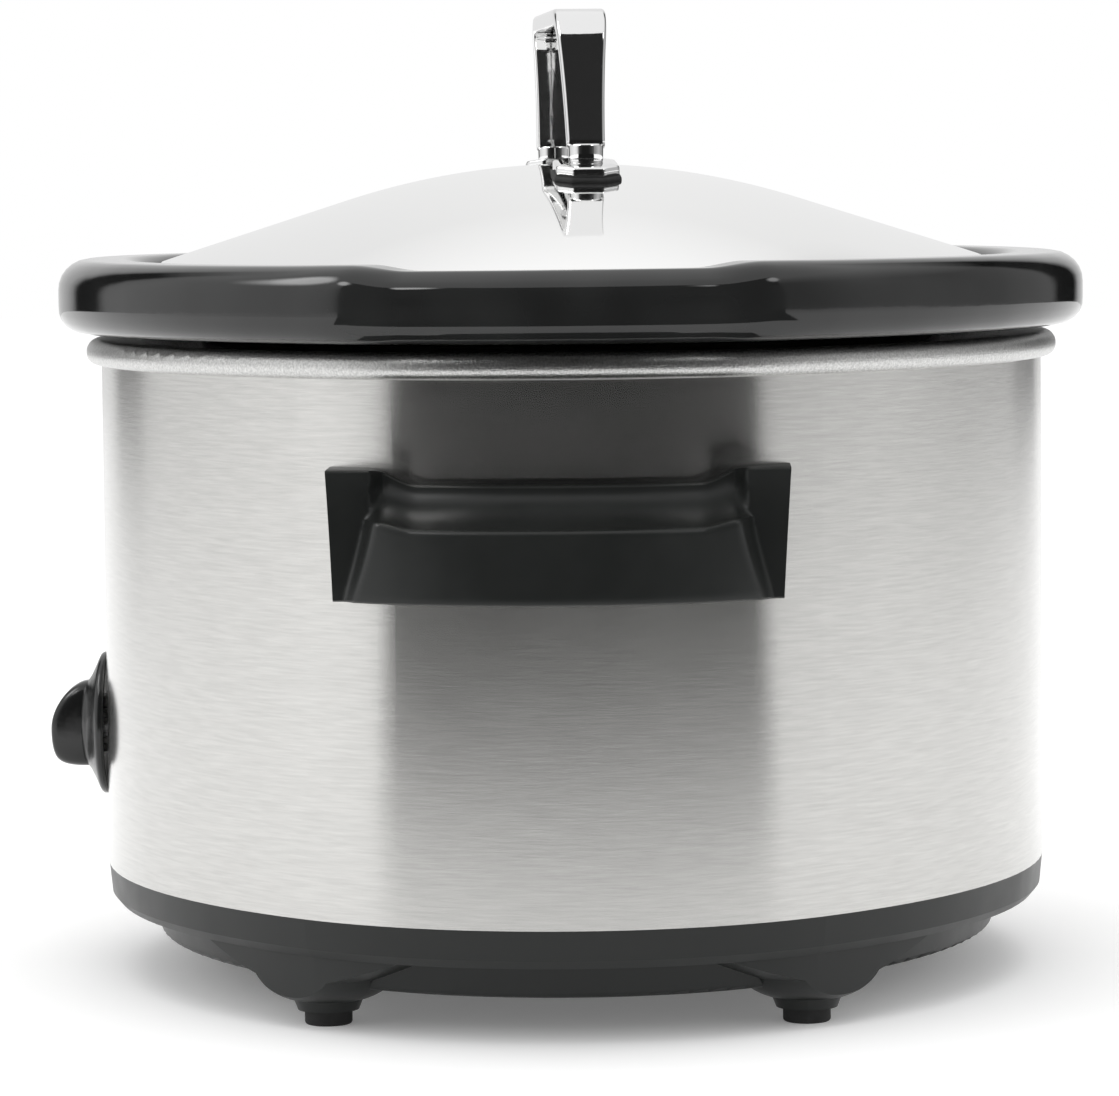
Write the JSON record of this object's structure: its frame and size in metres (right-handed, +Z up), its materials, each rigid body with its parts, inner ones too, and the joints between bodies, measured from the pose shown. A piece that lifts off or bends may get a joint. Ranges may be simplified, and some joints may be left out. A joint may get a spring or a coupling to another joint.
{
  "type": "slow cooker",
  "caption": "Oval slow cooker with a lift-out glazed stoneware crock, domed steel lid, rotary control knob and a handle at each end.",
  "frame": {"origin": "on the table, under the middle of the housing", "axes": "+X along the oval towards one side handle, -Y towards the control knob, +Z up"},
  "size_m": [0.35, 0.262, 0.2385],
  "materials": {
    "black_plastic": "fine satin moulding",
    "knob_plastic": "gloss black",
    "rubber": "matt black",
    "brushed_steel": "fine brush lines round the band",
    "bead_metal": "satin",
    "well_metal": "plain drawn sheet",
    "heater_foil": "foil tape",
    "spring_steel": "plated steel",
    "fixing_steel": "zinc plated",
    "fuse_ceramic": "white",
    "terminal_plastic": "cream",
    "switch_plastic": "dark brown moulding",
    "black_glaze": "gloss black glaze",
    "mirror_steel": "mirror polished stainless steel",
    "chrome": "bright chrome"
  },
  "bodies": {
    "housing": {"base_moulding": "black_plastic", "foot_pads": "rubber", "tie_bracket": "spring_steel", "tie_bolt": "fixing_steel", "tie_nut": "fixing_steel", "outer_shell": "brushed_steel", "rim_bead": "bead_metal", "heating_well": "well_metal", "band_heater": "heater_foil", "heater_clamps": "spring_steel", "heat_shield": "well_metal", "thermal_fuse": "fuse_ceramic", "fuse_clip": "spring_steel", "terminal_block": "terminal_plastic", "cord_grommet": "rubber", "side_handle_left": "black_plastic", "side_handle_right": "black_plastic", "handle_screws": "fixing_steel", "rotary_switch": "switch_plastic", "switch_nut": "fixing_steel", "switch_washer": "fixing_steel"},
    "knob": {"control_knob": "knob_plastic", "switch_shaft": "fixing_steel"},
    "crock": {"crock": "black_glaze"},
    "lid": {"lid_dome": "mirror_steel", "lid_handle": "chrome", "handle_feet": "chrome", "handle_gaskets": "rubber", "lid_screws": "fixing_steel", "screw_washers": "fixing_steel"}
  },
  "joints": [
    {"name": "knob_turn", "type": "hinge", "parent": "housing", "child": "knob", "pos_m": [0, -0.124, 0.06], "axis": [0, -1, 0], "range_deg": [-180, 0]},
    {"name": "crock_lift", "type": "slide", "parent": "housing", "child": "crock", "axis": [0, 0, 1], "range_m": [0, 0.135]},
    {"name": "lid_lift", "type": "slide", "parent": "crock", "child": "lid", "axis": [0, 0, 1], "range_m": [0, 0.05]}
  ]
}
